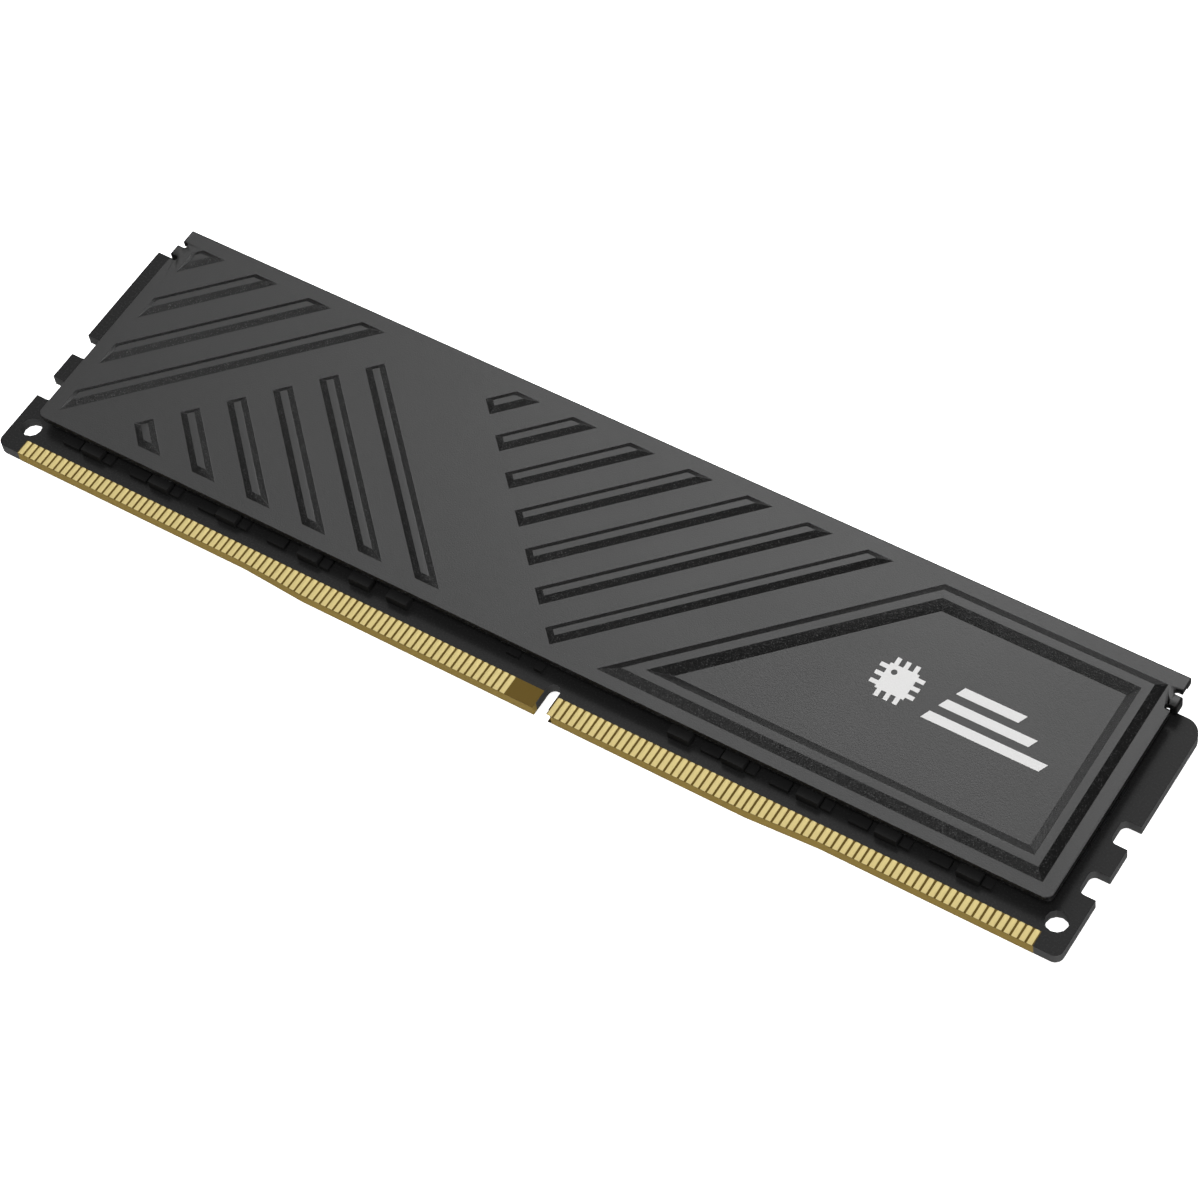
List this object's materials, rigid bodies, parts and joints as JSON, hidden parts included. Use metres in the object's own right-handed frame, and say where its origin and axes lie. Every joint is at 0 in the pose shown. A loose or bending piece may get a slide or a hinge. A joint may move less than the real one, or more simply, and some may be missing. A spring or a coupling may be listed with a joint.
{
  "type": "memory module",
  "caption": "Long slim computer memory module: a black circuit board with gold edge contacts between two thin dark metal heat spreaders pressed with diagonal ribs.",
  "frame": {"origin": "middle of the bounding box in X and Y, at the lowest point of the rear heat spreader, with the module lying on its back", "axes": "+X along the module with the framed panel end at +X, +Y from the contact edge to the top edge, +Z out of the front heat spreader"},
  "size_m": [0.1334, 0.0344, 0.007],
  "materials": {
    "laminate": "black solder mask over glass-fibre laminate, satin gloss",
    "gold": "pale gold plating, satin",
    "coated": "dark grey fine-grained coating, matt",
    "package": "moulded black epoxy, matt",
    "ceramic": "black glazed ceramic with tinned ends",
    "pad": "soft grey filled silicone, dull",
    "print": "flat white print"
  },
  "bodies": {
    "root": {"circuit_board": "laminate", "front_contacts_left": "gold", "front_contacts_right": "gold", "rear_contacts_left": "gold", "rear_contacts_right": "gold", "front_heat_spreader": "coated", "rear_heat_spreader": "coated", "dram_chip_1": "package", "dram_chip_2": "package", "dram_chip_3": "package", "dram_chip_4": "package", "dram_chip_5": "package", "dram_chip_6": "package", "dram_chip_7": "package", "dram_chip_8": "package", "spd_eeprom": "package", "lane_resistor_array_1": "ceramic", "lane_resistor_array_2": "ceramic", "lane_resistor_array_3": "ceramic", "lane_resistor_array_4": "ceramic", "lane_resistor_array_5": "ceramic", "lane_resistor_array_6": "ceramic", "lane_resistor_array_7": "ceramic", "lane_resistor_array_8": "ceramic", "lane_capacitor_1": "ceramic", "lane_capacitor_2": "ceramic", "lane_capacitor_3": "ceramic", "lane_capacitor_4": "ceramic", "lane_capacitor_5": "ceramic", "lane_capacitor_6": "ceramic", "lane_capacitor_7": "ceramic", "lane_capacitor_8": "ceramic", "lane_resistor_1": "ceramic", "lane_resistor_2": "ceramic", "lane_resistor_3": "ceramic", "lane_resistor_4": "ceramic", "lane_resistor_5": "ceramic", "lane_resistor_6": "ceramic", "lane_resistor_7": "ceramic", "lane_resistor_8": "ceramic", "supply_capacitor_1": "ceramic", "supply_capacitor_2": "ceramic", "supply_capacitor_3": "ceramic", "small_resistor_1": "ceramic", "small_resistor_2": "ceramic", "small_resistor_3": "ceramic", "termination_array_1": "ceramic", "termination_array_2": "ceramic", "termination_array_3": "ceramic", "termination_array_4": "ceramic", "termination_array_5": "ceramic", "front_thermal_pad": "pad", "rear_thermal_pad": "pad", "printed_chip_mark": "print", "printed_stroke_1": "print", "printed_stroke_2": "print", "printed_stroke_3": "print"}
  },
  "joints": []
}
